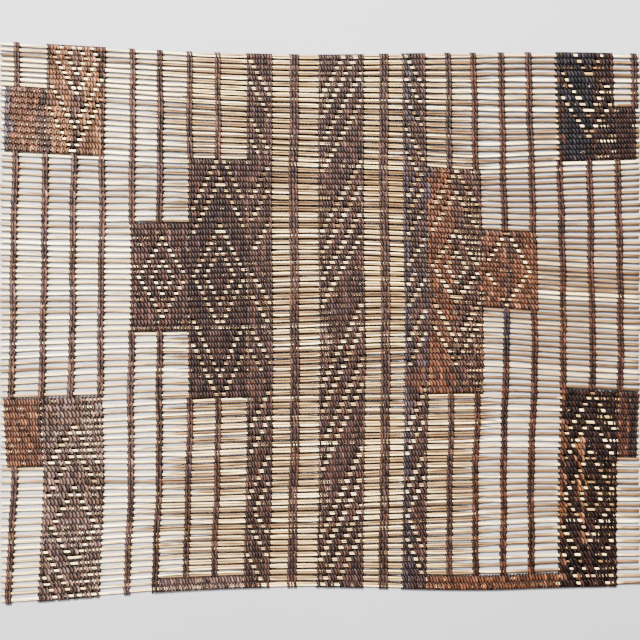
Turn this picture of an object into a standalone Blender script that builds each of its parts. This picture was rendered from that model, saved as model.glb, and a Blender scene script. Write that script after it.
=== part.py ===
"""Reed and leather rug, a cut length lying flat: courses of stalks bound by twined leather thongs."""

import functools
import math
import random
from collections import namedtuple

import bmesh
import bpy

MM = 0.001

# Driving sizes of the reeds
RUG_WIDTH = 0.640
COURSES = 92
TOP_LEVEL = 0.26883
SPACING_LINE_X = -0.038
STALK_WIDTH = 0.0026
STALK_HEIGHT = 0.0026
STALK_SIDE = 0.0010
PAIR_WIDTH = 0.0046
PAIR_GAP = 0.0009
PAIR_GROOVE = 0.0006
END_STAGGER = 0.0010
CUT_SEED = 7

# Driving sizes of the leather
LEATHER_THICKNESS = 0.0010
COLUMN_RELIEF = 0.0003
COLUMN_WIDTH = 0.00285
CLEARANCE = 0.0003
REST_HEIGHT = LEATHER_THICKNESS + CLEARANCE
REED_LEVEL = REST_HEIGHT + STALK_HEIGHT / 2
TOP_LEATHER = REST_HEIGHT + STALK_HEIGHT + CLEARANCE

# Where a course's section is set: single stalks at the sides, pairs in the middle
Station = namedtuple("Station", "x paired")
STATIONS = (
    Station(-RUG_WIDTH / 2, 0),
    Station(-0.170, 0),
    Station(-0.058, 1),
    Station(0.000, 1),
    Station(0.042, 1),
    Station(0.110, 1),
    Station(0.180, 0),
    Station(RUG_WIDTH / 2, 0),
)
JOINED_FROM = 3
UPPER_SIDE = 1
LOWER_SIDE = 6

# Spacing of the courses in millimetres along SPACING_LINE_X
Spacing = namedtuple("Spacing", "course width")
SPACINGS = (
    Spacing(0, 5.53),
    Spacing(10, 5.22),
    Spacing(19, 5.41),
    Spacing(28, 5.75),
    Spacing(37, 5.24),
    Spacing(46, 5.88),
    Spacing(55, 6.08),
    Spacing(64, 6.37),
    Spacing(73, 6.68),
    Spacing(82, 5.52),
    Spacing(92, 6.26),
)

# Tilt of the stalks in degrees, up to the right, at each of TILT_X
TILT_X = (-0.280, -0.200, -0.110, -0.030, 0.050, 0.130, 0.200, 0.280)
Tilt = namedtuple(
    "Tilt", "course far_left outer_left left inner_left inner_right right outer_right far_right"
)
TILTS = (
    Tilt(0, -3.3, -3.2, -2.1, -0.9, 1.2, 0.4, 0.6, -1.2),
    Tilt(10, -4.0, -4.0, -3.6, -1.0, -0.9, -2.1, -0.3, -0.5),
    Tilt(19, -3.5, -2.8, -1.0, -2.7, -2.1, -3.5, 3.5, 1.7),
    Tilt(28, -1.9, 0.1, -0.4, -0.9, -0.8, -5.1, -1.1, 1.6),
    Tilt(37, -1.9, -0.2, 2.1, 1.4, -2.7, -3.1, -4.4, -2.8),
    Tilt(46, 0.9, 0.2, 1.1, 2.2, 1.3, -3.7, -3.7, -2.5),
    Tilt(55, 3.0, 2.4, -0.4, 2.3, 2.9, -0.8, -4.3, -3.4),
    Tilt(64, 0.8, 3.4, 2.9, 0.8, 0.0, 1.5, 0.2, -2.4),
    Tilt(73, 1.0, -0.9, 2.6, 2.0, 2.6, 1.0, -0.3, -0.5),
    Tilt(82, 2.7, 3.7, 1.1, 0.9, 2.6, 2.2, 3.5, -1.1),
    Tilt(92, 4.6, 4.6, 2.6, 0.6, -1.7, -0.9, 2.4, 0.9),
)
RISE_STEPS = 24

# Sideways drift of the thongs in millimetres, at each of DRIFT_X
DRIFT_X = (-0.265, -0.150, 0.020, 0.190)
Drift = namedtuple("Drift", "course far_left left middle right")
DRIFTS = (
    Drift(0, 3.0, 0.0, 0.0, -4.0),
    Drift(27, 0.0, 0.0, -1.0, 0.0),
    Drift(53, -2.0, 0.0, 1.0, 2.5),
    Drift(60, -4.0, 0.0, 1.0, 1.5),
    Drift(72, 0.0, -1.0, 0.0, -1.0),
    Drift(92, -6.0, -5.0, -1.5, -1.0),
)

# Leather worked over whole fields, edges in millimetres from the middle, courses counted from the top
Field = namedtuple("Field", "name left right first last leather")
FIELDS = (
    Field("band_left", -73.8, -48.0, 0, 92, "brown"),
    Field("band_middle", -2.0, 44.0, 0, 92, "brown"),
    Field("band_right", 83.0, 107.0, 0, 92, "brown"),
    Field("block_top_left", -276.3, -216.5, 0, 20, "rust"),
    Field("block_top_left_edge", -317.0, -276.7, 9, 20, "rust"),
    Field("block_left_outer", -189.5, -132.2, 31, 50, "brown"),
    Field("block_left_inner", -131.8, -74.2, 20, 61, "brown"),
    Field("block_low_left", -276.3, -216.0, 60, 92, "brown"),
    Field("block_low_left_edge", -313.0, -276.7, 60, 71, "rust"),
    Field("block_foot_left", -157.0, -74.2, 90, 92, "brown"),
    Field("block_right_inner", 107.4, 161.0, 20, 61, "rust"),
    Field("block_right_outer", 161.4, 215.6, 31, 46, "rust"),
    Field("block_top_right", 239.5, 296.1, 0, 19, "navy"),
    Field("block_top_right_edge", 296.5, 317.0, 9, 19, "black"),
    Field("block_low_right", 240.0, 297.1, 60, 92, "black"),
    Field("block_low_right_edge", 297.5, 317.0, 60, 71, "rust"),
    Field("block_foot_right", 107.4, 239.6, 90, 92, "rust"),
)

# Narrow ribs, two or three columns of thong, which stop where a block takes them in
Rib = namedtuple("Rib", "name middle columns first last")
RIBS = (
    Rib("rib_left_8", -306.0, 2, 0, 92),
    Rib("rib_left_7", -275.5, 2, 0, 92),
    Rib("rib_left_6", -247.0, 2, 0, 92),
    Rib("rib_left_5", -218.5, 2, 0, 92),
    Rib("rib_left_4", -188.5, 2, 0, 92),
    Rib("rib_left_3", -160.5, 2, 0, 92),
    Rib("rib_left_2", -130.5, 2, 0, 92),
    Rib("rib_left_1", -102.5, 2, 0, 92),
    Rib("rib_inner_left", -26.2, 3, 0, 92),
    Rib("rib_inner_right", 64.2, 3, 0, 92),
    Rib("rib_right_1", 130.0, 2, 0, 92),
    Rib("rib_right_2", 156.0, 2, 0, 92),
    Rib("rib_right_3", 184.0, 2, 0, 92),
    Rib("rib_right_4", 212.0, 2, 0, 92),
    Rib("rib_right_5", 241.0, 2, 0, 92),
    Rib("rib_right_6", 270.0, 2, 0, 92),
    Rib("rib_right_7", 298.5, 2, 0, 92),
    Rib("rib_right_8", 317.0, 2, 0, 9),
)
RIB_REACH = 3.0

# A line that leather follows: a gap's middle, or beside a stalk where its course is a half
Line = namedtuple("Line", "course shift")

MERGE_DISTANCE = 1e-6
SHARP_ANGLE = math.radians(35)

# Finish of each material: colour, roughness
FINISHES = {
    "straw": ((0.66, 0.52, 0.33), 0.55),
    "brown": ((0.10, 0.065, 0.055), 0.60),
    "rust": ((0.19, 0.085, 0.050), 0.60),
    "navy": ((0.045, 0.045, 0.060), 0.55),
    "black": ((0.050, 0.032, 0.026), 0.60),
}


def between(value, stops, readings):
    """Straight-line reading at value between rising stops, held level past both ends."""
    if value <= stops[0]:
        return readings[0]
    for low, high, first, second in zip(stops, stops[1:], readings, readings[1:]):
        if value <= high:
            return first + (second - first) * (value - low) / (high - low)
    return readings[-1]


def reading(rows, columns_x, x, course):
    """A table of rows by course and columns by x, read in between."""
    across = [between(x, columns_x, row[1:]) for row in rows]
    return between(course, [row[0] for row in rows], across)


@functools.cache
def level(course):
    """Height of a gap (whole number) or a stalk's middle (half) along SPACING_LINE_X."""
    passed = 0.0
    for upper, lower in zip(SPACINGS, SPACINGS[1:]):
        end = min(course, lower.course)
        if end > upper.course:
            at_end = between(end, (upper.course, lower.course), (upper.width, lower.width))
            passed += (upper.width + at_end) / 2 * (end - upper.course)
    return TOP_LEVEL - MM * passed


@functools.cache
def rise(x, course):
    """How far the tilt has lifted a course by x, added up from SPACING_LINE_X."""
    step = (x - SPACING_LINE_X) / RISE_STEPS
    middles = [SPACING_LINE_X + (k + 0.5) * step for k in range(RISE_STEPS)]
    return sum(math.tan(math.radians(reading(TILTS, TILT_X, at, course))) * step for at in middles)


def course_line(x, course):
    """Y of a course at x: straight between stations, as the stalks are."""
    xs = [station.x for station in STATIONS]
    nearest = next(pair for pair in zip(xs, xs[1:]) if x <= pair[1] or pair[1] == xs[-1])
    return between(x, nearest, [level(course) + rise(at, course) for at in nearest])


def drift(x, course):
    return MM * reading(DRIFTS, DRIFT_X, x, course)


def course_width(x, course):
    """Width of the stalks in a course at x: one at the sides, two side by side in the middle."""
    spacing = level(course) - level(course + 1)
    pair = min(PAIR_WIDTH, spacing - PAIR_GAP)
    paired = between(x, [station.x for station in STATIONS], [station.paired for station in STATIONS])
    return STALK_WIDTH + paired * (pair - STALK_WIDTH)


def section(station, course, end_shift):
    """Eight corners of a course's section, going round; a single stalk's top three are one point."""
    middle = course_line(station.x, course + 0.5)
    half = course_width(station.x, course) / 2
    crown = station.paired * half / 2
    valley = STALK_HEIGHT / 2 - station.paired * PAIR_GROOVE
    side = STALK_SIDE / 2
    top = STALK_HEIGHT / 2
    corners = (
        (half, -side),
        (half, side),
        (crown, top),
        (0.0, valley),
        (-crown, top),
        (-half, side),
        (-half, -side),
        (0.0, -top),
    )
    return [(station.x + end_shift, middle + y, REED_LEVEL + z) for y, z in corners]


def add_course(bm, course, cut):
    """One course, lofted between its unlike sections. Returns its side faces in the joined stretch."""
    shifts = [0.0] * len(STATIONS)
    shifts[0] = cut.uniform(-END_STAGGER, END_STAGGER)
    shifts[-1] = cut.uniform(-END_STAGGER, END_STAGGER)
    rings = [
        [bm.verts.new(corner) for corner in section(station, course, shift)]
        for station, shift in zip(STATIONS, shifts)
    ]
    sides = {}
    for index, (near, far) in enumerate(zip(rings, rings[1:])):
        for k in range(len(near)):
            face = bm.faces.new((near[k - 1], near[k], far[k], far[k - 1]))
            if index == JOINED_FROM:
                sides[k] = face
    bm.faces.new(rings[0])
    bm.faces.new(reversed(rings[-1]))
    return sides[UPPER_SIDE], sides[LOWER_SIDE]


def join_facing(bm, first, second):
    """Opens two groups of faces that look at each other and walls the space between their rims."""
    rims = []
    for group in (first, second):
        edges = {edge for face in group for edge in face.edges}
        rims += [edge for edge in edges if sum(face in group for face in edge.link_faces) == 1]
        inner = [edge for edge in edges if edge not in rims]
        bmesh.ops.delete(bm, geom=list(group), context="FACES_ONLY")
        bmesh.ops.delete(bm, geom=inner, context="EDGES")
    bmesh.ops.bridge_loops(bm, edges=rims)


def finish_mesh(bm, name):
    bmesh.ops.remove_doubles(bm, verts=bm.verts, dist=MERGE_DISTANCE)
    bmesh.ops.recalc_face_normals(bm, faces=bm.faces)
    mesh = bpy.data.meshes.new(name)
    bm.to_mesh(mesh)
    bm.free()
    return mesh


def make_reeds():
    """All courses, made one body by a strip between them that lies hidden under the middle band."""
    bm = bmesh.new()
    cut = random.Random(CUT_SEED)
    sides = [add_course(bm, course, cut) for course in range(COURSES)]
    for (_, lower), (upper, _) in zip(sides, sides[1:]):
        join_facing(bm, [lower], [upper])
    return finish_mesh(bm, "reeds")


def line_y(x, line):
    y = course_line(x, line.course) + line.shift
    if line.course % 1:
        beside = course_width(x, line.course - 0.5) / 2
        y += math.copysign(beside, line.shift)
    return y


def has_room(xs, gap):
    """Whether a thong's turn fits between two courses all the way across."""
    for x in xs:
        above = course_line(x, gap - 0.5) - course_width(x, gap - 1) / 2
        below = course_line(x, gap + 0.5) + course_width(x, gap) / 2
        if above - below < LEATHER_THICKNESS + 2 * CLEARANCE:
            return False
    return True


def turns(xs, first, last):
    """Pairs of lines, the upper first, between which the leather turns down to the rug's other face."""
    found = []
    far = CLEARANCE + LEATHER_THICKNESS
    half = LEATHER_THICKNESS / 2
    if first == 0:
        found.append((Line(0.5, far), Line(0.5, CLEARANCE)))
    elif first + 1 < last and has_room(xs, first + 1):
        found.append((Line(first + 1, half), Line(first + 1, -half)))
    if last == COURSES:
        found.append((Line(COURSES - 0.5, -CLEARANCE), Line(COURSES - 0.5, -far)))
    elif first + 1 < last - 1 and has_room(xs, last - 1):
        found.append((Line(last - 1, half), Line(last - 1, -half)))
    return found


def place_plate(bm, xs, lines, low, high, relief):
    """A leather plate: a grid bent to the courses, crested by the relief, and given its thickness.

    Returns its upper and its lower faces, each as lists by the line that they begin at.
    """
    across = len(xs) - 1
    down = len(lines) - 1
    begins = bm.faces.layers.int.get("begins") or bm.faces.layers.int.new("begins")
    grid = bmesh.ops.create_grid(bm, x_segments=across, y_segments=down, size=0.5)
    upper = list({face for vert in grid["verts"] for face in vert.link_faces})
    for face in upper:
        face[begins] = round((0.5 - face.calc_center_median().y) * down - 0.5)
    for vert in grid["verts"]:
        i = round((vert.co.x + 0.5) * across)
        line = lines[round((0.5 - vert.co.y) * down)]
        x = xs[i] + drift(xs[i], line.course)
        vert.co = (x, line_y(x, line), high + relief * (i % 2 - 1))
    extruded = bmesh.ops.extrude_face_region(bm, geom=upper)["geom"]
    for vert in extruded:
        if isinstance(vert, bmesh.types.BMVert):
            vert.co.z = low
    lower = [face for face in extruded if isinstance(face, bmesh.types.BMFace)]
    return [
        [[face for face in side if face[begins] == row] for row in range(down)]
        for side in (upper, lower)
    ]


def make_leather(name, xs, first, last, relief):
    """A field or rib: leather above and below the stalks, one piece where it turns between them."""
    bm = bmesh.new()
    found = turns(xs, first, last)
    lines = {line for turn in found for line in turn}
    if first:
        lines.add(Line(first, -CLEARANCE / 2))
    if last < COURSES:
        lines.add(Line(last, CLEARANCE / 2))
    lines |= {Line(row.course, 0.0) for row in DRIFTS if first + 1 < row.course < last - 1}
    lines = sorted(lines, key=lambda line: -line_y(xs[0], line))
    crown = TOP_LEATHER + LEATHER_THICKNESS
    _, roof = place_plate(bm, xs, lines, TOP_LEATHER, crown, relief)
    floor, _ = place_plate(bm, xs, lines, 0.0, LEATHER_THICKNESS, 0.0)
    for turn in found:
        row = lines.index(turn[0])
        join_facing(bm, roof[row], floor[row])
    return finish_mesh(bm, name)


def free_stretches(rib):
    """The runs of courses that a rib binds by itself, between the blocks that take it in."""
    middle = rib.middle
    taken = [field for field in FIELDS if field.left - RIB_REACH < middle < field.right + RIB_REACH]
    free = [
        not any(field.first <= course < field.last for field in taken)
        for course in range(rib.first, rib.last)
    ]
    stretches = []
    start = None
    for course, is_free in enumerate([*free, False], rib.first):
        if is_free and start is None:
            start = course
        if not is_free and start is not None:
            stretches.append((start, course))
            start = None
    return stretches


def make_material(name):
    colour, roughness = FINISHES[name]
    material = bpy.data.materials.new(name)
    material.use_nodes = True
    shader = material.node_tree.nodes["Principled BSDF"]
    shader.inputs["Base Color"].default_value = (*colour, 1.0)
    shader.inputs["Roughness"].default_value = roughness
    shader.inputs["Metallic"].default_value = 0.0
    return material


def add_piece(collection, mesh, finish):
    piece = bpy.data.objects.new(mesh.name, mesh)
    material = make_material(finish)
    material.name = f"{mesh.name}_{finish}"
    mesh.materials.append(material)
    mesh.shade_smooth()
    mesh.set_sharp_from_angle(angle=SHARP_ANGLE)
    collection.objects.link(piece)


def main():
    for old in list(bpy.data.objects):
        bpy.data.objects.remove(old, do_unlink=True)
    collection = bpy.data.collections.new("reed_and_leather_rug")
    bpy.context.scene.collection.children.link(collection)
    add_piece(collection, make_reeds(), "straw")
    for field in FIELDS:
        left = MM * field.left
        right = MM * field.right
        xs = [left, *(station.x for station in STATIONS if left < station.x < right), right]
        add_piece(collection, make_leather(field.name, xs, field.first, field.last, 0.0), field.leather)
    for rib in RIBS:
        halves = 2 * rib.columns
        xs = [MM * rib.middle + COLUMN_WIDTH * (k - rib.columns) / 2 for k in range(halves + 1)]
        for number, (first, last) in enumerate(free_stretches(rib), 1):
            mesh = make_leather(f"{rib.name}_{number}", xs, first, last, COLUMN_RELIEF)
            add_piece(collection, mesh, "brown")


main()
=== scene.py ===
"""Reed and leather rug: courses of stalks bound by twined thongs in ribs, bands and patterned blocks."""

import math
from collections import namedtuple

import bmesh
import bpy
import numpy as np
from mathutils import Matrix, Vector


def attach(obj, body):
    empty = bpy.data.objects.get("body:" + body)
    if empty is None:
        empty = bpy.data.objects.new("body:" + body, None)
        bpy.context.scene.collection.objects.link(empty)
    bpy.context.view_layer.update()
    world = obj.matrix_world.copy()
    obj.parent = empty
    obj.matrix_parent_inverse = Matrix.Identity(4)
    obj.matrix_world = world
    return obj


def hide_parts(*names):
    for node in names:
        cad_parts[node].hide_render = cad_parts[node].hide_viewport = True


MM = 0.001

# Sizes shared with the solids
COURSES = 92
TOP_LEVEL = 0.26883
SPACING_LINE_X = -0.038
RUG_WIDTH = 0.640
END_STAGGER = 0.0010
REED_LEVEL = 0.0026

# Spacing of the courses in millimetres along SPACING_LINE_X
Spacing = namedtuple("Spacing", "course width")
SPACINGS = (
    Spacing(0, 5.53),
    Spacing(10, 5.22),
    Spacing(19, 5.41),
    Spacing(28, 5.75),
    Spacing(37, 5.24),
    Spacing(46, 5.88),
    Spacing(55, 6.08),
    Spacing(64, 6.37),
    Spacing(73, 6.68),
    Spacing(82, 5.52),
    Spacing(92, 6.26),
)

# Tilt of the stalks in degrees, up to the right, at each of TILT_X
TILT_X = (-0.280, -0.200, -0.110, -0.030, 0.050, 0.130, 0.200, 0.280)
Tilt = namedtuple(
    "Tilt", "course far_left outer_left left inner_left inner_right right outer_right far_right"
)
TILTS = (
    Tilt(0, -3.3, -3.2, -2.1, -0.9, 1.2, 0.4, 0.6, -1.2),
    Tilt(10, -4.0, -4.0, -3.6, -1.0, -0.9, -2.1, -0.3, -0.5),
    Tilt(19, -3.5, -2.8, -1.0, -2.7, -2.1, -3.5, 3.5, 1.7),
    Tilt(28, -1.9, 0.1, -0.4, -0.9, -0.8, -5.1, -1.1, 1.6),
    Tilt(37, -1.9, -0.2, 2.1, 1.4, -2.7, -3.1, -4.4, -2.8),
    Tilt(46, 0.9, 0.2, 1.1, 2.2, 1.3, -3.7, -3.7, -2.5),
    Tilt(55, 3.0, 2.4, -0.4, 2.3, 2.9, -0.8, -4.3, -3.4),
    Tilt(64, 0.8, 3.4, 2.9, 0.8, 0.0, 1.5, 0.2, -2.4),
    Tilt(73, 1.0, -0.9, 2.6, 2.0, 2.6, 1.0, -0.3, -0.5),
    Tilt(82, 2.7, 3.7, 1.1, 0.9, 2.6, 2.2, 3.5, -1.1),
    Tilt(92, 4.6, 4.6, 2.6, 0.6, -1.7, -0.9, 2.4, 0.9),
)

# Sideways drift of the thongs in millimetres, at each of DRIFT_X
DRIFT_X = (-0.265, -0.150, 0.020, 0.190)
Drift = namedtuple("Drift", "course far_left left middle right")
DRIFTS = (
    Drift(0, 3.0, 0.0, 0.0, -4.0),
    Drift(27, 0.0, 0.0, -1.0, 0.0),
    Drift(53, -2.0, 0.0, 1.0, 2.5),
    Drift(60, -4.0, 0.0, 1.0, 1.5),
    Drift(72, 0.0, -1.0, 0.0, -1.0),
    Drift(92, -6.0, -5.0, -1.5, -1.0),
)

# Leather worked over whole fields, edges in millimetres from the middle, courses counted from the top.
# window is the width of a bare place and snug the share of a column that its thong covers. Light shows
# through the last part of the field, as wide as loose says, or through the first where it is negative.
Field = namedtuple("Field", "name left right columns first last leather dye window snug loose")
FIELDS = (
    Field("band_left", -73.8, -48.0, 9, 0, 92, "brown", "brown", 3.5, 1.27, 0.0),
    Field("band_middle", -2.0, 44.0, 16, 0, 92, "brown", "brown", 4.3, 1.28, -0.27),
    Field("band_right", 83.0, 107.0, 8, 0, 92, "brown", "brown", 3.4, 1.28, 0.0),
    Field("block_top_left", -276.3, -216.5, 19, 0, 20, "rust", "tan", 3.8, 1.27, 0.0),
    Field("block_top_left_edge", -317.0, -276.7, 14, 9, 20, "rust", "russet", 4.0, 1.25, 0.0),
    Field("block_left_outer", -189.5, -132.2, 17, 31, 50, "brown", "brown", 3.5, 1.28, 0.0),
    Field("block_left_inner", -131.8, -74.2, 20, 20, 61, "brown", "dark", 3.4, 1.29, 0.0),
    Field("block_low_left", -276.3, -216.0, 16, 60, 92, "brown", "fawn", 4.6, 1.23, 0.4),
    Field("block_low_left_edge", -313.0, -276.7, 13, 60, 71, "rust", "russet", 4.0, 1.24, 0.0),
    Field("block_foot_left", -157.0, -74.2, 28, 90, 92, "brown", "fawn", 4.0, 1.22, 0.0),
    Field("block_right_inner", 107.4, 161.0, 16, 20, 61, "rust", "rust", 3.7, 1.27, 0.4),
    Field("block_right_outer", 161.4, 215.6, 16, 31, 46, "rust", "rust", 3.15, 1.28, 0.0),
    Field("block_top_right", 239.5, 296.1, 16, 0, 19, "navy", "navy", 3.8, 1.30, 0.30),
    Field("block_top_right_edge", 296.5, 317.0, 7, 9, 19, "black", "black", 4.0, 1.28, 0.0),
    Field("block_low_right", 240.0, 297.1, 16, 60, 92, "black", "black", 3.8, 1.30, 0.40),
    Field("block_low_right_edge", 297.5, 317.0, 7, 60, 71, "rust", "mahogany", 4.0, 1.26, 0.0),
    Field("block_foot_right", 107.4, 239.6, 44, 90, 92, "rust", "rust", 4.0, 1.24, 0.0),
)

# Narrow ribs, two or three columns of thong, which stop where a block takes them in
Rib = namedtuple("Rib", "name middle columns first last dye")
RIBS = (
    Rib("rib_left_8", -306.0, 2, 0, 92, "taupe"),
    Rib("rib_left_7", -275.5, 2, 0, 92, "taupe"),
    Rib("rib_left_6", -247.0, 2, 0, 92, "taupe"),
    Rib("rib_left_5", -218.5, 2, 0, 92, "taupe"),
    Rib("rib_left_4", -188.5, 2, 0, 92, "taupe"),
    Rib("rib_left_3", -160.5, 2, 0, 92, "umber"),
    Rib("rib_left_2", -130.5, 2, 0, 92, "umber"),
    Rib("rib_left_1", -102.5, 2, 0, 92, "umber"),
    Rib("rib_inner_left", -26.2, 3, 0, 92, "umber"),
    Rib("rib_inner_right", 64.2, 3, 0, 92, "umber"),
    Rib("rib_right_1", 130.0, 2, 0, 92, "umber"),
    Rib("rib_right_2", 156.0, 2, 0, 92, "chestnut"),
    Rib("rib_right_3", 184.0, 2, 0, 92, "chestnut"),
    Rib("rib_right_4", 212.0, 2, 0, 92, "chestnut"),
    Rib("rib_right_5", 241.0, 2, 0, 92, "chestnut"),
    Rib("rib_right_6", 270.0, 2, 0, 92, "chestnut"),
    Rib("rib_right_7", 298.5, 2, 0, 92, "chestnut"),
    Rib("rib_right_8", 317.0, 2, 0, 9, "chestnut"),
)
RIB_REACH = 3.0
RIB_WIDTHS = {2: 6.3, 3: 9.8}
RIB_SLACK = {2: 0.06, 3: 0.24}

# Unevenness along a row: how much, and the lengths of its waves, in metres on stalks and courses on thongs
Waver = namedtuple("Waver", "amount waves")
STALK_THICKNESS = Waver(0.10, (0.045, 0.11))
STALK_BOW = Waver(0.00045, (0.07, 0.16, 0.31))
STALK_LIFT = Waver(0.00008, (0.06, 0.13))
STALK_TONE = Waver(0.14, (0.09, 0.23))
PAIR_SHUT = Waver(0.9, (0.06, 0.14))
DYE_GREYNESS = Waver(0.8, (9.0, 17.0))
DYE_STRENGTH = Waver(0.40, (13.0, 31.0))
SWAY_WAVES = (12.0, 29.0)
WAVE_STRETCH = (0.8, 1.25)

# Stalks: how thick they are, more so to the right, and how fine their mesh is
STALK_RADIUS = 0.00145
STALK_HALF_HEIGHT = 0.00128
STALK_SIZES = (0.82, 1.07)
THICKER = 0.13
STALK_SIDES = 8
STALK_SPANS = 80

# Pairs of stalks side by side in the middle, each with a foot in painted shade that spreads towards the
# next course, so the gap there looks dark
PAIR_GAP = 0.0015
PRESSED = 0.18
PAIR_FOOT = 0.00090
PAIR_FOOT_REACH = (-0.080, 0.110)
FOOT_STEEPNESS = 1.41
FOOT_SIDE = 0.1
SHUT = 1.2
LESS_SHUT = 0.45
STRAIGHTER = 0.7
MAKING_ROOM = 0.030
SECOND_REACH = 0.024
SECOND_TIP = 0.30
SECOND_STALK_LEFT = (-0.165, -0.105)
SECOND_STALK_RIGHT = (0.135, 0.162)
SECOND_SPANS = 38

# How brown the stalks are: more where they are weathered, to the right, and less under leather
TONE_SHAPE = (1.4, 2.4)
TONE_SPAN = 0.85
TONE_START = -0.05
SECOND_BROWNER = 0.28
PAIR_BROWNER = 0.10
PALER = 0.22
WEATHERED = 0.54
WEATHERED_MOST = 1.9
WEATHERED_FROM = 0.090
WEATHERED_OVER = 0.150
KEPT_FROM_WEATHER = 0.35

# Painted shade on the stalks' lower halves: between a pair, under leather and on the lower flank
LEAST_SHADE = 0.12
CREASE = 0.90
COVERED = 2.2
COVERED_SIDES = 0.3
# The lower flank's painted shade, from the left of the rug to the right
FLANK_LEFT = 0.45
FLANK_RIGHT = 1.00

# Where each stalk's stretch of the grain begins
GRAIN_STEP = 1.7
SECOND_GRAIN = 0.9

# Thongs over and under the stalks
TOP_ARCH = 0.00180
TOP_HALF_THICKNESS = 0.00045
TOP_SIDES = 5
UNDER_ARCH = 0.00195
UNDER_HALF_THICKNESS = 0.00045
UNDER_SIDES = 4
STITCH_LENGTH = 0.0055
LOFTS = (0.93, 1.06)
LEANS = (0.75, 1.25)
PUSH_STEEPNESS = 2.2
GRAIN_ROOM = 9
FIELD_SWAY = 0.3
RIB_SWAY = 0.7
FIELD_LEAN = 0.26
RIB_LEAN = 0.17
# How much painted shade darkens the flanks of a field's and of a rib's thongs
FIELD_FLANK = 0.8
RIB_FLANK = 0.52
BULGE = 0.9
WINDOW_ROOM = 0.9

# Shares of a column's width that a thong covers, and what takes from them or adds to them
RIB_SHARE = 1.20
UNDER_SHARE = 0.94
RIB_UNDER_SHARE = 0.66
SHARE_SPREAD = 0.06
COLUMN_SLACK = 0.07
COURSE_SLACK = 0.15
SLACK_RARITY = 4
SLIT = 0.30
SLIT_CHANCE = 0.09
LOOSE_CHANCE = 0.30
LOOSER = 0.5
CROSSED = 0.26

# Where a thong's rings lie from gap to gap, how high it arches, how wide it is there, and how light it
# stays: rubbed pale in the middle, darkened with painted shade at its ends in the gaps
Ring = namedtuple("Ring", "along height width worn")
FIELD_TOP = (
    Ring(-0.12, 0.58, 0.70, 0.46),
    Ring(0.20, 0.90, 1.00, 0.95),
    Ring(0.50, 1.00, 1.00, 1.00),
    Ring(0.80, 0.90, 1.00, 0.95),
    Ring(1.12, 0.58, 0.70, 0.46),
)
RIB_TOP = (
    Ring(-0.14, 0.62, 0.90, 0.74),
    Ring(0.18, 0.92, 1.00, 0.94),
    Ring(0.50, 1.00, 1.00, 1.00),
    Ring(0.82, 0.92, 1.00, 0.94),
    Ring(1.14, 0.62, 0.90, 0.74),
)
UNDER = (
    Ring(0.00, -0.35, 1.00, 0.50),
    Ring(0.20, 1.00, 1.00, 0.80),
    Ring(0.80, 1.00, 1.00, 0.80),
    Ring(1.00, -0.35, 1.00, 0.50),
)

# Nested diamonds of bare places: each ring's distance from the centre, in steps of a course
Diamond = namedtuple("Diamond", "field x course step radii")
DIAMONDS = (
    Diamond("block_top_left", -244.0, 2.0, 3.1, (3, 7)),
    Diamond("block_top_left", -246.6, 2.0, 3.1, (13.0,)),
    Diamond("block_top_left", -248.3, 2.0, 3.1, (17.4,)),
    Diamond("block_left_outer", -158.5, 40.0, 3.4, (3, 7)),
    Diamond("block_left_inner", -100.5, 40.0, 2.9, (5, 9, 17, 21.3)),
    Diamond("block_low_left", -246.5, 80.0, 3.7, (6, 16.3)),
    Diamond("block_low_left", -245.2, 80.0, 3.7, (12.1,)),
    Diamond("block_right_inner", 135.5, 38.0, 3.4, (3, 7, 14, 18)),
    Diamond("block_right_outer", 186.2, 37.7, 3.25, (7.25,)),
    Diamond("block_top_right", 268.0, -0.2, 3.7, (3.8, 10, 14)),
    Diamond("block_low_right", 270.0, 77.5, 3.6, (3, 7.3, 13.2)),
    Diamond("block_low_right", 272.0, 77.5, 3.6, (17.6,)),
)

# Slanting lines of bare places, turn 1 down to the left and -1 down to the right
Lines = namedtuple("Lines", "field x first last turn step places")
LINES = (
    Lines("band_left", -72.0, 0, 19, -1, 3.05, (-15, -11, -4.3, -0.3)),
    Lines("band_left", -72.0, 19, 36, 1, 3.1, (27, 31, 37)),
    Lines("band_left", -72.0, 36, 57, -1, 3.55, (-52.5, -48.8, -42.8, -39)),
    Lines("band_left", -72.0, 57, 79, 1, 3.25, (66, 70, 76, 80)),
    Lines("band_left", -72.0, 79, 92, -1, 3.35, (-86.5, -80.7, -76.7)),
    Lines("band_right", 83.0, 0, 21, -1, 3.4, (-16.3, -12.4, -7, -3.2, 0.5)),
    Lines("band_right", 83.0, 21, 40, 1, 3.15, (26.5, 29.7, 33.7, 39.7)),
    Lines("band_right", 83.0, 40, 60, 1, 3.15, (43.6, 47.8, 53.8, 58)),
    Lines("band_right", 83.0, 60, 80, 1, 3.05, (67.2, 71.2, 76.9, 80.8)),
    Lines("band_right", 83.0, 80, 92, -1, 2.75, (-82.6, -78.6)),
    Lines("band_middle", -2.0, 0, 92, 1, 3.0, (8, 12.2, 17.2, 22.2)),
    Lines("band_middle", -2.0, 0, 92, 1, 3.0, (33.3, 37.5, 42.5, 47)),
    Lines("band_middle", -2.0, 0, 92, 1, 3.0, (60.2, 64.2, 69.7, 73.5)),
    Lines("band_middle", -2.0, 0, 92, 1, 3.0, (83.5, 87.6, 92.4, 97)),
)

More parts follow.
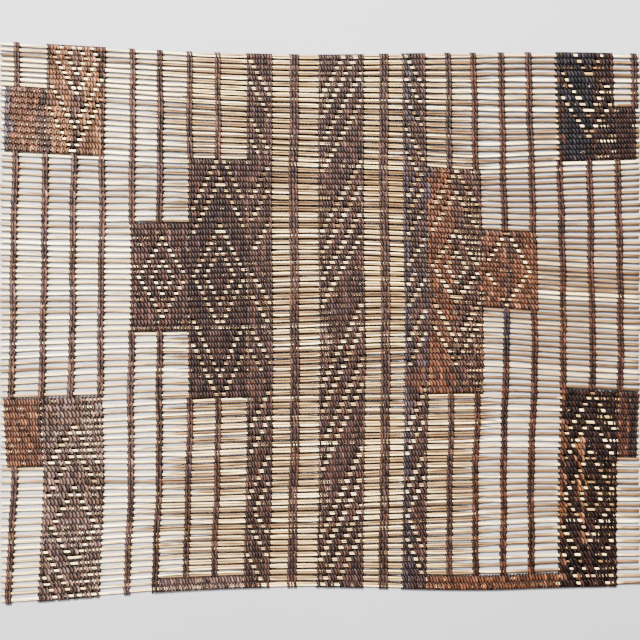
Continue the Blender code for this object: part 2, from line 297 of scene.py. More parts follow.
# Colours of the leather at the top of each stitch, rubbed pale; painted shade darkens its flanks and ends
DYES = {
    "brown": (0.1140, 0.0508, 0.0358),
    "umber": (0.0800, 0.0353, 0.0251),
    "taupe": (0.1321, 0.0651, 0.0484),
    "dark": (0.0660, 0.0280, 0.0198),
    "fawn": (0.2750, 0.1560, 0.1170),
    "tan": (0.3767, 0.1674, 0.0772),
    "chestnut": (0.0680, 0.0230, 0.0135),
    "mahogany": (0.1400, 0.0420, 0.0190),
    "rust": (0.2220, 0.0780, 0.0350),
    "russet": (0.2600, 0.1020, 0.0540),
    "navy": (0.0225, 0.0165, 0.0235),
    "black": (0.0430, 0.0165, 0.0115),
    "violet": (0.0884, 0.0605, 0.0707),
    "lilac": (0.1535, 0.1097, 0.1302),
    "orange": (0.3534, 0.1376, 0.0456),
}

# How far each dye fades to a violet grey, and how much that and its strength vary between stitches
GREYNESS = {
    "tan": 0.15,
    "rust": 0.12,
    "russet": 0.2,
    "chestnut": 0.15,
    "mahogany": 0.15,
    "black": 0.25,
    "navy": 0.35,
}
PLAIN_GREYNESS = 0.42
GREY_MIDDLE = 0.5
GREY_SPREAD = 0.5
STRENGTH_SPREAD = 0.42

# How far a patch's edge wanders in millimetres, and the gloss of each leather
RAGGED = 2.0
SHEEN = {"brown": 0.10, "rust": 0.10, "navy": 0.07, "black": 0.07}

# Patches of another dye, edges in millimetres from the middle
Patch = namedtuple("Patch", "left right first last dye")
PATCHES = (
    Patch(83.0, 91.5, 0, 92, "violet"),
    Patch(103.6, 107.2, 18, 57, "violet"),
    Patch(89.0, 107.2, 57, 61, "rust"),
    Patch(132.0, 161.2, 20, 61, "brown"),
    Patch(184.0, 191.0, 31, 46, "brown"),
    Patch(180.0, 190.0, 46, 54, "navy"),
    Patch(270.0, 297.0, 0, 19, "black"),
    Patch(239.0, 244.5, 0, 19, "chestnut"),
    Patch(259.4, 263.2, 68, 92, "orange"),
    Patch(255.6, 259.2, 68, 80, "rust"),
    Patch(239.0, 245.0, 60, 92, "rust"),
    Patch(308.0, 318.0, 60, 71, "black"),
    Patch(-277.0, -272.0, 0, 20, "taupe"),
    Patch(-221.0, -216.0, 0, 20, "brown"),
    Patch(-249.0, -240.0, 0, 20, "taupe"),
    Patch(-318.0, -309.0, 9, 20, "lilac"),
    Patch(-281.0, -276.0, 9, 20, "taupe"),
    Patch(-281.0, -276.0, 60, 71, "taupe"),
)

# Where every other column leans the other way
Crossing = namedtuple("Crossing", "left right first last")
CROSSINGS = (Crossing(-318.0, -277.0, 9, 20), Crossing(-277.0, -246.0, 12, 20))

SEED = 11
rng = np.random.default_rng(SEED)


# Where the courses and columns lie: charts on a fine grid, read up to just inside its last point
CHART_REACH = 0.325
CHART_COLUMNS = 131
INSIDE = 1.001
FINE_X = np.linspace(-CHART_REACH, CHART_REACH, CHART_COLUMNS)
HALF_COURSES = np.arange(2 * COURSES + 1) / 2
ROWS = np.arange(COURSES)[:, None]


def level(course):
    """Height of a gap (whole number) or a stalk's middle (half) along SPACING_LINE_X."""
    stops = [row.course for row in SPACINGS]
    widths = np.interp(HALF_COURSES, stops, [row.width for row in SPACINGS])
    steps = (widths[1:] + widths[:-1]) / 2 * np.diff(HALF_COURSES)
    passed = np.concatenate([[0.0], np.cumsum(steps)])
    return TOP_LEVEL - MM * np.interp(course, HALF_COURSES, passed)


def chart(rows, columns_x):
    """A table of rows by course and columns by x, filled in on the fine grid."""
    across = np.array([np.interp(FINE_X, columns_x, row[1:]) for row in rows])
    stops = [row.course for row in rows]
    return np.array([np.interp(HALF_COURSES, stops, column) for column in across.T]).T


def course_chart():
    """Y of every half course on the fine grid: the level, plus the tilt added up from SPACING_LINE_X."""
    slopes = np.tan(np.radians(chart(TILTS, TILT_X)))
    steps = (slopes[:, 1:] + slopes[:, :-1]) / 2 * np.diff(FINE_X)
    risen = np.concatenate([np.zeros((len(slopes), 1)), np.cumsum(steps, axis=1)], axis=1)
    start = [np.interp(SPACING_LINE_X, FINE_X, row) for row in risen]
    return level(HALF_COURSES)[:, None] + risen - np.array(start)[:, None]


COURSE_CHART = course_chart()
DRIFT_CHART = MM * chart(DRIFTS, DRIFT_X)


def read_chart(table, x, course):
    """The table's reading at arrays of x and course, in between its points."""
    x, course = np.broadcast_arrays(x, course)
    across = np.clip((x - FINE_X[0]) / (FINE_X[1] - FINE_X[0]), 0, len(FINE_X) - INSIDE)
    down = np.clip(2 * course, 0, len(HALF_COURSES) - INSIDE)
    i = across.astype(int)
    j = down.astype(int)
    right = across - i
    below = down - j
    upper = table[j, i] * (1 - right) + table[j, i + 1] * right
    lower = table[j + 1, i] * (1 - right) + table[j + 1, i + 1] * right
    return upper * (1 - below) + lower * below


def waver(amount, waves, x, rows):
    """Gentle unevenness along x, of its own for every row: a few long waves of given lengths."""
    total = 0.0
    for wave in waves:
        phase = rng.uniform(0, math.tau, (rows, 1))
        stretch = rng.uniform(*WAVE_STRETCH, (rows, 1))
        total = total + np.sin(x * math.tau / (wave * stretch) + phase)
    return amount * total / len(waves)


def smooth(value):
    """From 0 to 1 with soft ends."""
    value = np.clip(value, 0.0, 1.0)
    return value * value * (3 - 2 * value)


# Meshes
def tube(sides, spans):
    """A closed tube of radius 1 round the X axis, from x = 0 to 1 in equal spans."""
    bm = bmesh.new()
    turn = Matrix.Translation((0.5, 0, 0)) @ Matrix.Rotation(-math.pi / 2, 4, "Y")
    bmesh.ops.create_cone(
        bm, cap_ends=True, segments=sides, radius1=1, radius2=1, depth=1, matrix=turn
    )
    long_edges = [edge for edge in bm.edges if abs(edge.verts[0].co.x - edge.verts[1].co.x) > 0.5]
    bmesh.ops.subdivide_edges(bm, edges=long_edges, cuts=spans - 1, use_grid_fill=True)
    bmesh.ops.recalc_face_normals(bm, faces=bm.faces)
    mesh = bpy.data.meshes.new("tube")
    bm.to_mesh(mesh)
    bm.free()
    return mesh


def repeated(mesh, count):
    """Mesh with count copies of this one, one after the other."""
    pattern = bpy.data.objects.new("pattern", mesh)
    bpy.context.scene.collection.objects.link(pattern)
    array = pattern.modifiers.new("copies", "ARRAY")
    array.count = count
    array.use_relative_offset = False
    array.use_constant_offset = True
    array.constant_offset_displace = (0, 0, 0)
    bpy.context.view_layer.update()
    graph = bpy.context.evaluated_depsgraph_get()
    made = bpy.data.meshes.new_from_object(pattern.evaluated_get(graph))
    bpy.data.objects.remove(pattern, do_unlink=True)
    return made


def points_of(mesh):
    """The mesh's points, a row each."""
    co = np.zeros(3 * len(mesh.vertices))
    mesh.vertices.foreach_get("co", co)
    return co.reshape(-1, 3)


def write(mesh, name, values):
    """Per-point values of the mesh, as a float or a vector attribute."""
    kind, key = ("FLOAT", "value") if values.shape[-1] == 1 else ("FLOAT_VECTOR", "vector")
    attribute = mesh.attributes.new(name, kind, "POINT")
    attribute.data.foreach_set(key, values.astype(np.float32).ravel())


def laid_tubes(shape, x, y, z, grain, tone):
    """One mesh of many copies of a tube, each copy's points where x, y and z (copies by points) say."""
    mesh = repeated(shape, len(x))
    mesh.vertices.foreach_set("co", np.stack([x, y, z], axis=-1).astype(np.float32).ravel())
    write(mesh, "grain", np.stack(np.broadcast_arrays(*grain), axis=-1).reshape(-1, 3))
    write(mesh, "tone", np.broadcast_to(tone, x.shape).reshape(-1, 1))
    mesh.shade_smooth()
    mesh.update()
    return mesh


def joined(meshes):
    """One smooth mesh of them all."""
    bm = bmesh.new()
    for mesh in meshes:
        bm.from_mesh(mesh)
    whole = bpy.data.meshes.new("joined")
    bm.to_mesh(whole)
    bm.free()
    whole.shade_smooth()
    return whole


def add_piece(name, mesh, material, nodes):
    """The mesh as a piece of the rug that stands for the nodes."""
    mesh.name = name
    mesh.materials.append(material)
    piece = bpy.data.objects.new(name, mesh)
    bpy.context.scene.collection.objects.link(piece)
    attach(piece, "root")
    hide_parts(*nodes)
    return piece


# Stalks
def pairing(x, cuts):
    """How far a course's stalks lie as a pair at x: 0 single, 1 side by side."""
    room_left = smooth((x - cuts[0][:, None]) / MAKING_ROOM + 1)
    room_right = smooth((cuts[1][:, None] - x) / MAKING_ROOM + 1)
    return room_left * room_right


def pair_radius(course):
    """Radius of each stalk of a pair: the two share their course but for the gap."""
    return (level(course) - level(course + 1) - PAIR_GAP) / 4


def sheltered(x, course):
    """1 where leather covers a course, which keeps the reed pale and lays painted shade on its sides, and 0
    where it lies bare.
    """
    covered = np.zeros(x.shape)
    for field in FIELDS:
        within = (x > field.left * MM) & (x < field.right * MM)
        covered = np.maximum(covered, within & (course >= field.first) & (course < field.last))
    return covered


def stalk_radii(x, second, paired, pressed, far):
    """Radius of a stalk in a pair, and of this stalk, along its length."""
    slim = pair_radius(ROWS) * (1 - PRESSED * pressed)
    single = STALK_RADIUS * (1 + THICKER * far)
    radius = single + paired * (slim - single)
    if second:
        radius = slim * (SECOND_TIP + (1 - SECOND_TIP) * paired)
    radius = radius * (1 + waver(*STALK_THICKNESS, x, COURSES))
    return slim, radius * rng.uniform(*STALK_SIZES, (COURSES, 1))


def stalk_foot(x, outward, up, side, paired):
    """How far a paired stalk's lower outer quarter spreads, which shuts most of the gap beside the pair
    with a surface in painted shade.
    """
    shut = np.clip(SHUT + waver(*PAIR_SHUT, x, COURSES), 0, 1)
    away = np.clip(np.maximum(PAIR_FOOT_REACH[0] - x, x - PAIR_FOOT_REACH[1]) / MAKING_ROOM, 0, 1)
    shut = shut * (1 - LESS_SHUT * away) * paired
    return PAIR_FOOT * shut * np.clip(-FOOT_STEEPNESS * up, 0, 1) * (outward > FOOT_SIDE) * side


def stalk_tone(x, second, paired, pressed, far):
    """How brown a stalk is along its length."""
    tone = rng.beta(*TONE_SHAPE, (COURSES, 1)) * TONE_SPAN + TONE_START
    tone = tone + (SECOND_BROWNER if second else 0.0)
    weathered = WEATHERED * far * (1 - KEPT_FROM_WEATHER * pressed)
    tone = tone + weathered * rng.uniform(0, WEATHERED_MOST, (COURSES, 1))
    return tone - PALER * pressed + PAIR_BROWNER * paired + waver(*STALK_TONE, x, COURSES)


def stalk_painted_shade(across, up, outward, paired, pressed, far):
    """Painted shade on a stalk's lower half: between a pair, under leather and on the lower flank."""
    shut_in = np.clip(outward, 0, 1) * paired
    shut_in = shut_in + CREASE * np.clip(-outward, 0, 1) * paired
    hidden = np.where(paired > 0.5, np.clip(outward, 0, 1), COVERED_SIDES * np.abs(across))
    shut_in = shut_in + COVERED * pressed * hidden
    flank = (FLANK_LEFT + (FLANK_RIGHT - FLANK_LEFT) * far) * (1 - paired) * np.clip(-across, 0, 1)
    return np.clip(1 - up, 0, 1) * (LEAST_SHADE + (1 - LEAST_SHADE) * (shut_in + flank))


def stalk_mesh(spans, left, right, second, side, cuts):
    """The stalks of all courses: the first ones run the whole width, the second ones lie beside them."""
    shape = tube(STALK_SIDES, spans)
    along, across, up = points_of(shape).T[:, None, :]
    side = side[:, None]
    x = left[:, None] + along * (right - left)[:, None]
    far = smooth((x - WEATHERED_FROM) / WEATHERED_OVER)
    paired = pairing(x, cuts)
    pressed = sheltered(x, ROWS)
    slim, radius = stalk_radii(x, second, paired, pressed, far)
    outward = across * side
    foot = stalk_foot(x, outward, up, side, paired)
    bow = waver(*STALK_BOW, x, COURSES) * (1 - STRAIGHTER * paired)
    lift = waver(*STALK_LIFT, x, COURSES)
    middle = read_chart(COURSE_CHART, x, ROWS + 0.5) + side * slim * paired
    y = middle + bow + foot + radius * across
    z = REED_LEVEL + lift + STALK_HALF_HEIGHT * up
    start = SECOND_GRAIN if second else 0.0
    grain = (x + GRAIN_STEP * ROWS + start, radius * across, STALK_HALF_HEIGHT * up)
    mesh = laid_tubes(shape, x, y, z, grain, stalk_tone(x, second, paired, pressed, far))
    # The painted shade goes on each stalk as its low attribute
    write(mesh, "low", stalk_painted_shade(across, up, outward, paired, pressed, far).reshape(-1, 1))
    return mesh


def make_reeds(material):
    """All the stalks of the rug as one piece."""
    side = rng.choice((-1.0, 1.0), COURSES)
    starts = rng.uniform(*SECOND_STALK_LEFT, COURSES)
    ends = rng.uniform(*SECOND_STALK_RIGHT, COURSES)
    left = -RUG_WIDTH / 2 + rng.uniform(-END_STAGGER, END_STAGGER, COURSES)
    right = RUG_WIDTH / 2 + rng.uniform(-END_STAGGER, END_STAGGER, COURSES)
    cuts = (starts, ends)
    first = stalk_mesh(STALK_SPANS, left, right, False, side, cuts)
    second = stalk_mesh(SECOND_SPANS, starts - SECOND_REACH, ends + SECOND_REACH, True, -side, cuts)
    return add_piece("reed_courses", joined([first, second]), material, ["reeds"])


# Thongs
Stitches = namedtuple("Stitches", "x course half push lean dye")


def thong_mesh(rings, shape, stitches, up, flank):
    """Each stitch's stretch of thong over (up = 1) or under (up = -1) its stalk."""
    local = points_of(shape)
    across, rise = local[None, :, 1], local[None, :, 2]
    ring = np.round(local[:, 0] * (len(rings) - 1)).astype(int)
    along, height, width, rubbed_and_shaded = np.array(rings)[ring].T[:, None, :]
    count = len(stitches.x)
    middle = stitches.course[:, None] + along
    arch, thick = (TOP_ARCH, TOP_HALF_THICKNESS) if up > 0 else (UNDER_ARCH, UNDER_HALF_THICKNESS)
    home = stitches.x[:, None] + read_chart(DRIFT_CHART, stitches.x[:, None], middle)
    lean = up * stitches.lean[:, None] * rng.uniform(*LEANS, (count, 1))
    half = stitches.half[:, None] * width
    pushed = np.clip(PUSH_STEEPNESS * np.sin(math.pi * np.clip(along, 0, 1)), 0, 1)
    aside = stitches.push[:, None] * pushed * (up > 0)
    x = home + aside + 2 * lean * (along - 0.5) + lean * BULGE * (1 - (2 * along - 1) ** 2)
    x = x + half * across
    y = read_chart(COURSE_CHART, home, middle) + 0 * x
    loft = arch * rng.uniform(*LOFTS, (count, 1))
    z = REED_LEVEL + up * loft * height + thick * rise
    offset = rng.uniform(0, GRAIN_ROOM, (count, 1))
    grain = (half * across + offset, STITCH_LENGTH * along, thick * rise)
    mesh = laid_tubes(shape, x, y, z, grain, rng.uniform(0, 1, (count, 1)))
    # Rubbed pale on the crown, with painted shade growing towards the flanks as much as flank says
    stitch_rubbed_and_shaded = rubbed_and_shaded * (1 - flank * across ** 2)
    write(mesh, "stitch_rubbed_and_shaded", np.broadcast_to(stitch_rubbed_and_shaded, x.shape).reshape(-1, 1))
    write(mesh, "dye", np.broadcast_to(stitches.dye[:, None, :], (*x.shape, 3)).reshape(-1, 3))
    return mesh


def bare_places(name, x, course, window):
    """Left and right edges of the bare place that takes each stitch out, where one does (left < right)."""
    left = np.full(x.shape, np.inf)
    right = np.full(x.shape, -np.inf)
    centres = []
    for diamond in DIAMONDS:
        if diamond.field == name:
            for radius in diamond.radii:
                away = (radius - np.abs(course - diamond.course)) * diamond.step
                for hand in (-1, 1):
                    centres.append((diamond.x + hand * np.abs(away), away > -window / 4))
    for lines in LINES:
        if lines.field == name:
            within = (course >= lines.first) & (course < lines.last)
            for place in lines.places:
                centres.append((lines.x + (place - lines.turn * course) * lines.step, within))
    for centre, within in centres:
        taken = within & (np.abs(x - centre) < window / 2)
        left = np.where(taken, np.minimum(left, centre - window / 2), left)
        right = np.where(taken, np.maximum(right, centre + window / 2), right)
    return left, right


def make_way(x, half, left, right):
    """Each stitch's middle and half width once those beside a bare place close up to its edges."""
    bare = left < right
    low, high = x - half, x + half
    before = bare[1:] & ~bare[:-1]
    after = bare[:-1] & ~bare[1:]
    near = np.clip(left[1:], high[:-1] - WINDOW_ROOM, high[:-1] + WINDOW_ROOM)
    high[:-1] = np.where(before, near, high[:-1])
    near = np.clip(right[:-1], low[1:] - WINDOW_ROOM, low[1:] + WINDOW_ROOM)
    low[1:] = np.where(after, near, low[1:])
    return (low + high) / 2, (high - low) / 2


def dye_of(x, course, leather):
    """Each stitch's colour: the leather's, that of a patch, and a drift of its own along each column."""
    colour = np.broadcast_to(DYES[leather], (*x.shape, 3)).copy()
    near = x + rng.normal(0, RAGGED, x.shape)
    for patch in PATCHES:
        within = (near > patch.left) & (near < patch.right)
        colour[within & (course >= patch.first) & (course < patch.last)] = DYES[patch.dye]
    greyness = GREY_MIDDLE + waver(*DYE_GREYNESS, course, len(x)) + rng.normal(0, GREY_SPREAD, x.shape)
    greyness = np.clip(greyness, 0, 1)[..., None] * GREYNESS.get(leather, PLAIN_GREYNESS)
    light = colour.sum(-1, keepdims=True) / sum(DYES["violet"])
    colour = colour * (1 - greyness) + np.array(DYES["violet"]) * light * greyness
    strength = waver(*DYE_STRENGTH, course, len(x)) + rng.normal(0, STRENGTH_SPREAD, x.shape)
    return colour * np.exp(strength)[..., None]


def crossed(x, course):
    """Where every other column leans the other way."""
    there = np.zeros(x.shape, dtype=bool)
    for crossing in CROSSINGS:
        within = (x > crossing.left) & (x < crossing.right)
        there = there | within & (course >= crossing.first) & (course < crossing.last)
    return there


Work = namedtuple("Work", "leather dye rings share under_share slack window loose sway twist lean flank")


def share_of(x, course, place, slackness, work):
    """The share of its column that each stitch covers: less in slack courses, and at slits."""
    share = work.share - COLUMN_SLACK * rng.uniform(0, 1, (len(x), 1))
    share = share - work.slack * slackness
    loose = (place > 1 - work.loose) if work.loose > 0 else (place < -work.loose)
    slit = rng.uniform(0, 1, x.shape) < SLIT_CHANCE + LOOSE_CHANCE * loose
    share = share - np.abs(rng.normal(0, SHARE_SPREAD, x.shape)) - SLIT * slit * (1 + LOOSER * loose)
    return share + CROSSED * crossed(x, course)


def make_thongs(name, node, edges, columns, courses, work):
    """A field or rib of thongs: stitches over every stalk but the bare ones, and under every stalk."""
    pitch = (edges[1] - edges[0]) / columns
    column = np.arange(columns)[:, None]
    course = np.arange(*courses, dtype=float)[None, :]
    home = edges[0] + (column + 0.5) * pitch + waver(work.sway, SWAY_WAVES, course, 1)
    x = home + read_chart(DRIFT_CHART, home * MM, course + 0.5) / MM
    course = course + 0 * x
    left, right = bare_places(node, x, course, work.window)
    left[[0, -1]] = np.inf
    right[[0, -1]] = -np.inf
    share = share_of(x, course, (column + 0.5) / columns, SLACKNESS[courses[0]:courses[1]], work)
    middle, half = make_way(x, pitch * share / 2, left, right)
    lean = work.lean * pitch * np.where(crossed(x, course) & (column % 2 == 1), -1, 1)
    dye = dye_of(x, course, work.dye)
    over = left >= right
    top = Stitches(
        x=home[over] * MM,
        course=course[over],
        half=half[over] * MM,
        push=(middle - x)[over] * MM,
        lean=lean[over] * MM,
        dye=dye[over],
    )
    under = Stitches(
        x=home.ravel() * MM,
        course=course.ravel(),
        half=np.full(x.size, pitch * work.under_share / 2 * MM),
        push=np.zeros(x.size),
        lean=lean.ravel() * work.twist * MM,
        dye=dye.reshape(-1, 3),
    )
    meshes = [
        thong_mesh(work.rings, TOP_SHAPE, top, 1, work.flank),
        thong_mesh(UNDER, UNDER_SHAPE, under, -1, work.flank),
    ]
    return add_piece(name, joined(meshes), leathers[work.leather], [node])


def free_stretches(rib):
    """The runs of courses that a rib binds by itself, between the blocks that take it in."""
    taken = [
        field
        for field in FIELDS
        if field.left - RIB_REACH < rib.middle < field.right + RIB_REACH
    ]
    stretches = []
    start = None
    for course in range(rib.first, rib.last + 1):
        free = course < rib.last and not any(field.first <= course < field.last for field in taken)
        if free and start is None:
            start = course
        if not free and start is not None:
            stretches.append((start, course))
            start = None
    return stretches


# Materials
class Nodes:
    """A material's node tree, built with short calls."""

    def __init__(self, name):
        self.material = bpy.data.materials.new(name)
        self.material.use_nodes = True
        self.tree = self.material.node_tree
        self.shader = self.tree.nodes["Principled BSDF"]

    def add(self, kind, settings=(), **links):
        node = self.tree.nodes.new(kind)
        for key, value in dict(settings).items():
            setattr(node, key, value)
        for key, value in links.items():
            self.put(node.inputs[key], value)
        return node

    def put(self, socket, value):
        if isinstance(value, bpy.types.NodeSocket):
            self.tree.links.new(value, socket)
        else:
            socket.default_value = value

    def attribute(self, name, output="Fac"):
        return self.add("ShaderNodeAttribute", {"attribute_name": name}).outputs[output]

    def maths(self, operation, first, second):
        node = self.add("ShaderNodeMath", {"operation": operation})
        self.put(node.inputs[0], first)
        self.put(node.inputs[1], second)
        return node.outputs[0]

    def scaled(self, vector, scale):
        node = self.add("ShaderNodeMapping", Vector=vector)
        node.inputs["Scale"].default_value = scale
        return node.outputs[0]

    def noise(self, vector, scale, detail):
        node = self.add("ShaderNodeTexNoise", Vector=vector, Scale=scale, Detail=detail)
        return node.outputs["Fac"]

    def ramp(self, value, stops):
        node = self.add("ShaderNodeValToRGB", Fac=value)
        ramp = node.color_ramp
        while len(ramp.elements) < len(stops):
            ramp.elements.new(0.5)
        for element, (place, colour) in zip(ramp.elements, stops):
            element.position = place
            element.color = (*colour, 1.0)
        return node.outputs[0]

    def mix(self, kind, share, first, second):
        node = self.add("ShaderNodeMix", {"data_type": "RGBA", "blend_type": kind})
        self.put(node.inputs["Factor"], share)
        self.put(node.inputs[6], first)
        self.put(node.inputs[7], second)
        return node.outputs[2]

    def bump(self, height, distance):
        node = self.add("ShaderNodeBump", Height=height)
        node.inputs["Distance"].default_value = distance
        self.tree.links.new(node.outputs[0], self.shader.inputs["Normal"])


def grey(value):
    """A grey as a colour."""
    return (value, value, value)


# Reed: how fast its marks change along and across a stalk, per metre, and the colours they give
Stop = namedtuple("Stop", "place colour")
PATCH_SCALE = (18.0, 300.0, 300.0)
BLOTCH_SCALE = (70.0, 500.0, 500.0)
STREAK_SCALE = (16.0, 1150.0, 1150.0)
TONE_SHARE = 0.90
PATCH_SHARE = 0.60
MARK_STRENGTH = 0.8
STRAW = (
    Stop(0.32, (0.97, 0.80, 0.45)),
    Stop(0.52, (0.82, 0.61, 0.27)),
    Stop(0.72, (0.48, 0.30, 0.115)),
    Stop(0.95, (0.15, 0.078, 0.027)),
)
LINE_STOPS = (Stop(0.43, (0.15, 0.090, 0.050)), Stop(0.54, grey(1.0)))
STAIN_STOPS = (Stop(0.28, (0.34, 0.24, 0.17)), Stop(0.40, grey(1.0)))
# Painted shade: dark where the low attribute is high
PAINTED_SHADE_STOPS = (Stop(0.11, grey(1.0)), Stop(0.52, (0.030, 0.020, 0.014)))
REED_ROUGHNESS = (Stop(0.3, grey(0.62)), Stop(0.7, grey(0.45)))
REED_GLOSS = 0.2
REED_RELIEF = 0.00012


def reed_material():
    """Dry reed: straw with brown patches, fine dark lines and stains, and painted shade low down its sides.
    """
    nodes = Nodes("dry_reed")
    grain = nodes.attribute("grain", "Vector")
    tone = nodes.attribute("tone")
    patch = nodes.noise(nodes.scaled(grain, PATCH_SCALE), 1.0, 3.0)
    blotch = nodes.noise(nodes.scaled(grain, BLOTCH_SCALE), 1.0, 2.0)
    streak = nodes.noise(nodes.scaled(grain, STREAK_SCALE), 1.0, 3.0)
    browned = nodes.maths("MULTIPLY", tone, TONE_SHARE)
    shade = nodes.maths("ADD", browned, nodes.maths("MULTIPLY", patch, PATCH_SHARE))
    colour = nodes.ramp(shade, STRAW)
    colour = nodes.mix("MULTIPLY", MARK_STRENGTH, colour, nodes.ramp(streak, LINE_STOPS))
    colour = nodes.mix("MULTIPLY", MARK_STRENGTH, colour, nodes.ramp(blotch, STAIN_STOPS))
    # Painted shade from the low attribute darkens the stalks' lower flanks
    colour = nodes.mix("MULTIPLY", 1.0, colour, nodes.ramp(nodes.attribute("low"), PAINTED_SHADE_STOPS))
    nodes.put(nodes.shader.inputs["Base Color"], colour)
    nodes.put(nodes.shader.inputs["Roughness"], nodes.ramp(streak, REED_ROUGHNESS))
    nodes.shader.inputs["Specular IOR Level"].default_value = REED_GLOSS
    nodes.bump(streak, REED_RELIEF)
    return nodes.material


# Leather thongs: how fast their marks change, per metre, and what they do to the dye
MOTTLE_SCALE = 520.0
FINE_SCALE = (2400.0, 600.0, 2400.0)
STROKE_SCALE = (1500.0, 260.0, 1500.0)
TINT_SCALE = (1300.0, 900.0, 1300.0)
PATCHY_STOPS = (Stop(0.3, grey(0.55)), Stop(0.7, grey(1.0)))
TINT_STOPS = (Stop(0.36, (1.0, 0.72, 0.40)), Stop(0.50, (0.80, 0.80, 0.76)), Stop(0.64, (0.60, 0.77, 1.0)))
STROKE_STOPS = (Stop(0.38, grey(0.22)), Stop(0.52, grey(0.48)), Stop(0.66, (1.0, 0.95, 1.0)))
# Rubbed pale on top; painted shade near black on the flanks and at the ends
RUBBED_AND_SHADED_STOPS = (Stop(0.30, grey(0.03)), Stop(0.63, grey(0.34)), Stop(0.95, grey(1.0)))
LEATHER_ROUGHNESS = (Stop(0.3, grey(0.40)), Stop(0.7, grey(0.65)))
LEATHER_RELIEF = 0.00010


def thong_material(leather):
    """Dyed leather: mottled, tinted and stroked, rubbed pale on top and darkened with painted shade on its
    flanks and at its ends.
    """
    nodes = Nodes(f"thong_{leather}")
    grain = nodes.attribute("grain", "Vector")
    mottle = nodes.noise(grain, MOTTLE_SCALE, 3.0)
    fine = nodes.noise(nodes.scaled(grain, FINE_SCALE), 1.0, 2.0)
    stroke = nodes.noise(nodes.scaled(grain, STROKE_SCALE), 1.0, 2.0)
    tint = nodes.noise(nodes.scaled(grain, TINT_SCALE), 1.0, 2.0)
    colour = nodes.mix("MULTIPLY", 1.0, nodes.attribute("dye", "Color"), nodes.ramp(mottle, PATCHY_STOPS))
    colour = nodes.mix("MULTIPLY", 1.0, colour, nodes.ramp(tint, TINT_STOPS))
    colour = nodes.mix("MULTIPLY", 1.0, colour, nodes.ramp(stroke, STROKE_STOPS))
    # Painted shade and wear: the flanks and ends darken, the crown keeps the dye
    colour = nodes.mix("MULTIPLY", 1.0, colour, nodes.ramp(nodes.attribute("stitch_rubbed_and_shaded"), RUBBED_AND_SHADED_STOPS))
    nodes.put(nodes.shader.inputs["Base Color"], colour)
    nodes.put(nodes.shader.inputs["Roughness"], nodes.ramp(mottle, LEATHER_ROUGHNESS))
    nodes.shader.inputs["Specular IOR Level"].default_value = SHEEN[leather]
    nodes.bump(fine, LEATHER_RELIEF)
    return nodes.material


CLOUD_SCALE = 3.0
FLOOR_STOPS = (Stop(0.3, (0.218, 0.212, 0.226)), Stop(0.7, (0.238, 0.232, 0.246)))
FLOOR_ROUGHNESS = 0.8


def floor_material():
    """A plain pale floor, very softly clouded."""
    nodes = Nodes("pale_floor")
    where = nodes.add("ShaderNodeTexCoord").outputs["Object"]
    cloud = nodes.noise(where, CLOUD_SCALE, 3.0)
    nodes.put(nodes.shader.inputs["Base Color"], nodes.ramp(cloud, FLOOR_STOPS))
    nodes.shader.inputs["Roughness"].default_value = FLOOR_ROUGHNESS
    return nodes.material


# Floor, light and camera
FLOOR_HALF = 2.5
Lamp = namedtuple("Lamp", "name place size power colour")
LAMPS = (
    Lamp("key", (-0.20, 1.05, 1.80), 0.45, 425.0, (1.0, 0.98, 0.95)),
    Lamp("fill", (-1.30, -0.10, 1.7), 1.8, 75.0, (0.97, 0.98, 1.0)),
)
SKY_COLOUR = (0.95, 0.97, 1.0, 1.0)
SKY_STRENGTH = 0.41
LENS = 50.0
SENSOR = 36.0
VIEW_WIDTH = 0.640
VIEW_MIDDLE = 0.0027
STALK_TOP = 0.0039


def make_floor():
    """The floor that the rug lies on, at z = 0."""
    bm = bmesh.new()
    bmesh.ops.create_grid(bm, x_segments=1, y_segments=1, size=FLOOR_HALF)
    mesh = bpy.data.meshes.new("floor")
    bm.to_mesh(mesh)
    bm.free()
    mesh.materials.append(floor_material())
    floor = bpy.data.objects.new("floor", mesh)
    bpy.context.scene.collection.objects.link(floor)


def add_light(lamp):
    """A square lamp that faces the middle of the rug."""
    data = bpy.data.lights.new(lamp.name, "AREA")
    data.energy = lamp.power
    data.size = lamp.size
    data.color = lamp.colour
    light = bpy.data.objects.new(lamp.name, data)
    light.location = lamp.place
    light.rotation_euler = (-Vector(lamp.place)).to_track_quat("-Z", "Y").to_euler()
    bpy.context.scene.collection.objects.link(light)


def make_world():
    """Even light from all round."""
    world = bpy.data.worlds.new("studio")
    world.use_nodes = True
    background = world.node_tree.nodes["Background"]
    background.inputs["Color"].default_value = SKY_COLOUR
    background.inputs["Strength"].default_value = SKY_STRENGTH
    bpy.context.scene.world = world


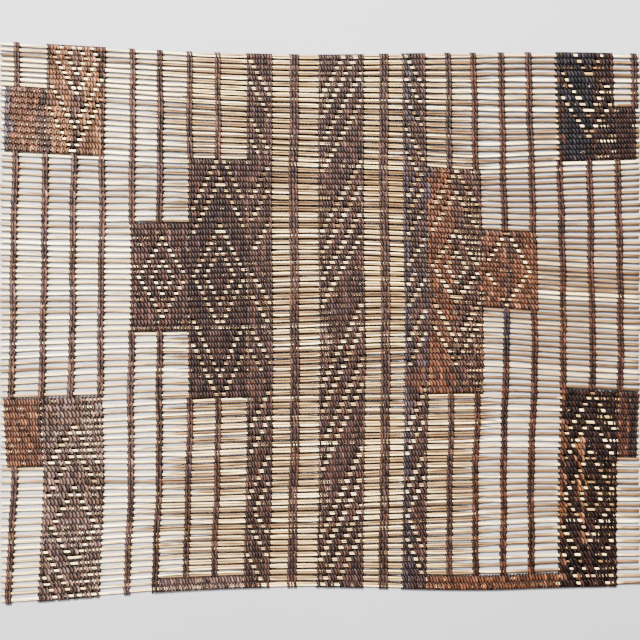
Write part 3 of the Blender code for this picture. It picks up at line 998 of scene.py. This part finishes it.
def make_camera():
    """Straight down, as high as shows VIEW_WIDTH of the stalks' tops across the picture."""
    data = bpy.data.cameras.new("camera")
    data.lens = LENS
    data.sensor_width = SENSOR
    camera = bpy.data.objects.new("camera", data)
    camera.location = (0.0, VIEW_MIDDLE, STALK_TOP + VIEW_WIDTH * LENS / SENSOR)
    bpy.context.scene.collection.objects.link(camera)
    bpy.context.scene.camera = camera


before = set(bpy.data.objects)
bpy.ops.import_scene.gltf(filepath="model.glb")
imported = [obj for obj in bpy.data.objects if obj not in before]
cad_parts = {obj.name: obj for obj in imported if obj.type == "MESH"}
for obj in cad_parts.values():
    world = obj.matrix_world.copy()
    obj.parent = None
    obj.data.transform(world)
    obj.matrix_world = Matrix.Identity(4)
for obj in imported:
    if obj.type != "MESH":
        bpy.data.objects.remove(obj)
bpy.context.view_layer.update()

make_camera()
make_floor()
make_world()
for lamp in LAMPS:
    add_light(lamp)

TOP_SHAPE = tube(TOP_SIDES, len(FIELD_TOP) - 1)
UNDER_SHAPE = tube(UNDER_SIDES, len(UNDER) - 1)
SLACKNESS = rng.uniform(0, 1, COURSES) ** SLACK_RARITY
leathers = {leather: thong_material(leather) for leather in SHEEN}
reeds = make_reeds(reed_material())

for field in FIELDS:
    work = Work(
        leather=field.leather,
        dye=field.dye,
        rings=FIELD_TOP,
        share=field.snug,
        under_share=UNDER_SHARE,
        slack=COURSE_SLACK,
        window=field.window,
        loose=field.loose,
        sway=FIELD_SWAY,
        twist=1.0,
        lean=FIELD_LEAN,
        flank=FIELD_FLANK,
    )
    edges = (field.left, field.right)
    courses = (field.first, field.last)
    make_thongs(f"{field.name}_thongs", field.name, edges, field.columns, courses, work)
for rib in RIBS:
    work = Work(
        leather="brown",
        dye=rib.dye,
        rings=RIB_TOP,
        share=RIB_SHARE,
        under_share=RIB_UNDER_SHARE,
        slack=RIB_SLACK[rib.columns],
        window=0.0,
        loose=0.0,
        sway=RIB_SWAY,
        twist=0.0,
        lean=RIB_LEAN,
        flank=RIB_FLANK,
    )
    reach = RIB_WIDTHS[rib.columns] / 2
    edges = (rib.middle - reach, rib.middle + reach)
    for number, courses in enumerate(free_stretches(rib), 1):
        node = f"{rib.name}_{number}"
        make_thongs(f"{node}_thongs", node, edges, rib.columns, courses, work)
